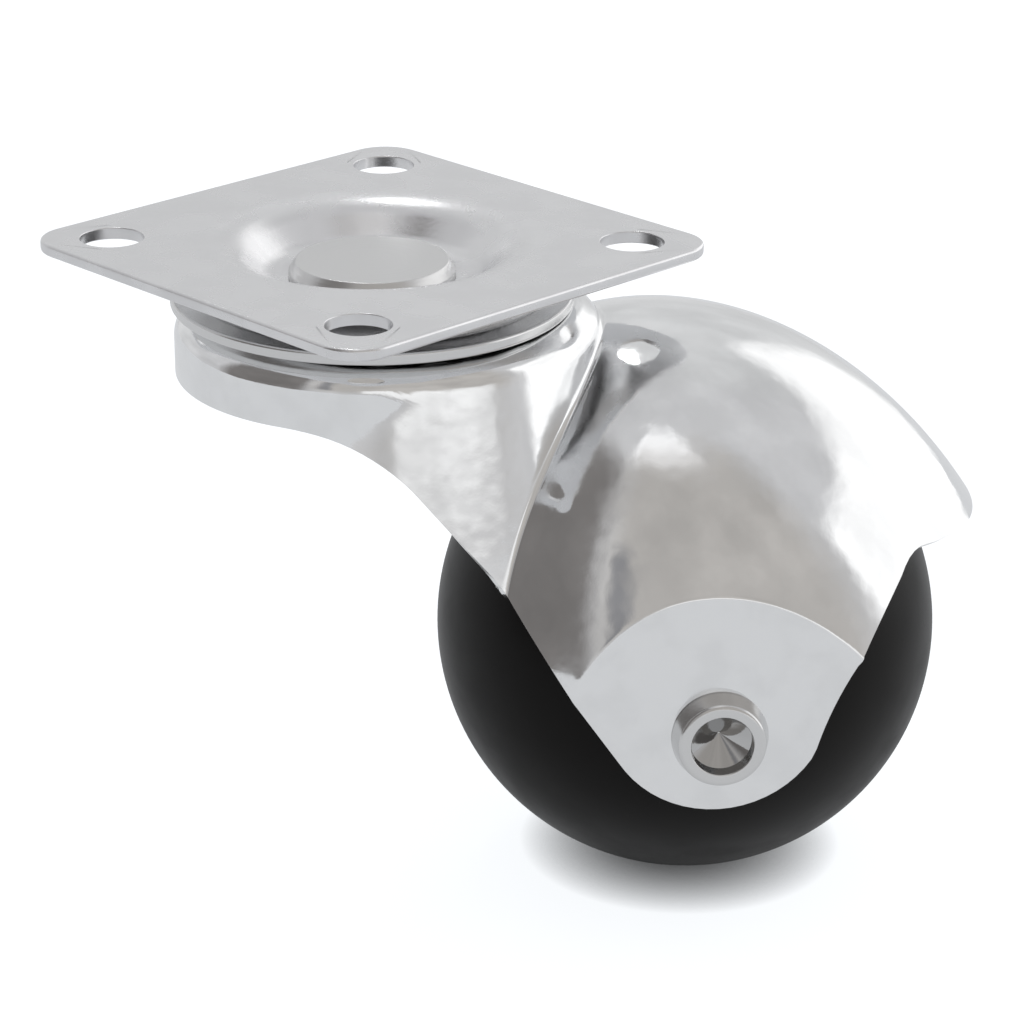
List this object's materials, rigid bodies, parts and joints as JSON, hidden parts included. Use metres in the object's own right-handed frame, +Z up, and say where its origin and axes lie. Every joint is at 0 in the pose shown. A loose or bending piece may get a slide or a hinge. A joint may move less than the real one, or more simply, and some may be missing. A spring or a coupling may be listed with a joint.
{
  "type": "plate caster",
  "caption": "Swivel caster with a square screw plate, a pressed chrome hood and a black ball-shaped wheel on a cross axle.",
  "frame": {"origin": "on the swivel axis, in the plane of the top plate's mounting face, at the centre of its four screw holes", "axes": "+Z up out of the plate into the furniture, along the swivel axis; +X from the swivel axis towards the wheel; +Y along the axle"},
  "size_m": [0.0916, 0.0638, 0.0658],
  "materials": {
    "zinc_plate": "satin zinc plating",
    "pin_steel": "satin zinc plating, turned marks",
    "race_steel": "bright zinc plating",
    "bearing_steel": "polished, greased",
    "chrome": "polished chrome plating",
    "axle_steel": "satin turned steel",
    "spacer": "matt black",
    "black_wheel": "semi-gloss moulded"
  },
  "bodies": {
    "plate": {"top_plate": "zinc_plate", "king_pin": "pin_steel", "upper_race": "race_steel", "lower_race": "race_steel"},
    "swivel_hood": {"hood": "chrome", "axle": "axle_steel", "axle_sleeve": "axle_steel", "near_spacer": "spacer", "far_spacer": "spacer"},
    "wheel": {"ball_wheel": "black_wheel"},
    "upper_balls": {"upper_ball_01": "bearing_steel", "upper_ball_02": "bearing_steel", "upper_ball_03": "bearing_steel", "upper_ball_04": "bearing_steel", "upper_ball_05": "bearing_steel", "upper_ball_06": "bearing_steel", "upper_ball_07": "bearing_steel", "upper_ball_08": "bearing_steel", "upper_ball_09": "bearing_steel", "upper_ball_10": "bearing_steel", "upper_ball_11": "bearing_steel", "upper_ball_12": "bearing_steel", "upper_ball_13": "bearing_steel", "upper_ball_14": "bearing_steel", "upper_ball_15": "bearing_steel", "upper_ball_16": "bearing_steel", "upper_ball_17": "bearing_steel", "upper_ball_18": "bearing_steel", "upper_ball_19": "bearing_steel", "upper_ball_20": "bearing_steel"},
    "lower_balls": {"lower_ball_01": "bearing_steel", "lower_ball_02": "bearing_steel", "lower_ball_03": "bearing_steel", "lower_ball_04": "bearing_steel", "lower_ball_05": "bearing_steel", "lower_ball_06": "bearing_steel", "lower_ball_07": "bearing_steel", "lower_ball_08": "bearing_steel", "lower_ball_09": "bearing_steel", "lower_ball_10": "bearing_steel", "lower_ball_11": "bearing_steel", "lower_ball_12": "bearing_steel", "lower_ball_13": "bearing_steel", "lower_ball_14": "bearing_steel", "lower_ball_15": "bearing_steel"}
  },
  "joints": [
    {"name": "swivel", "type": "hinge", "parent": "plate", "child": "swivel_hood", "pos_m": [0, 0, 0], "axis": [0, 0, 1], "continuous": true},
    {"name": "wheel_spin", "type": "hinge", "parent": "swivel_hood", "child": "wheel", "pos_m": [0.0312, 0, -0.0408], "axis": [0, 1, 0], "continuous": true},
    {"name": "upper_ball_ring", "type": "hinge", "parent": "plate", "child": "upper_balls", "pos_m": [0, 0, -0.0067], "axis": [0, 0, 1], "continuous": true},
    {"name": "lower_ball_ring", "type": "hinge", "parent": "plate", "child": "lower_balls", "pos_m": [0, 0, -0.00966], "axis": [0, 0, 1], "continuous": true}
  ],
  "couplings": [
    {"joint": "upper_ball_ring", "follows": "swivel", "ratio": 0.5},
    {"joint": "lower_ball_ring", "follows": "swivel", "ratio": 0.5}
  ]
}
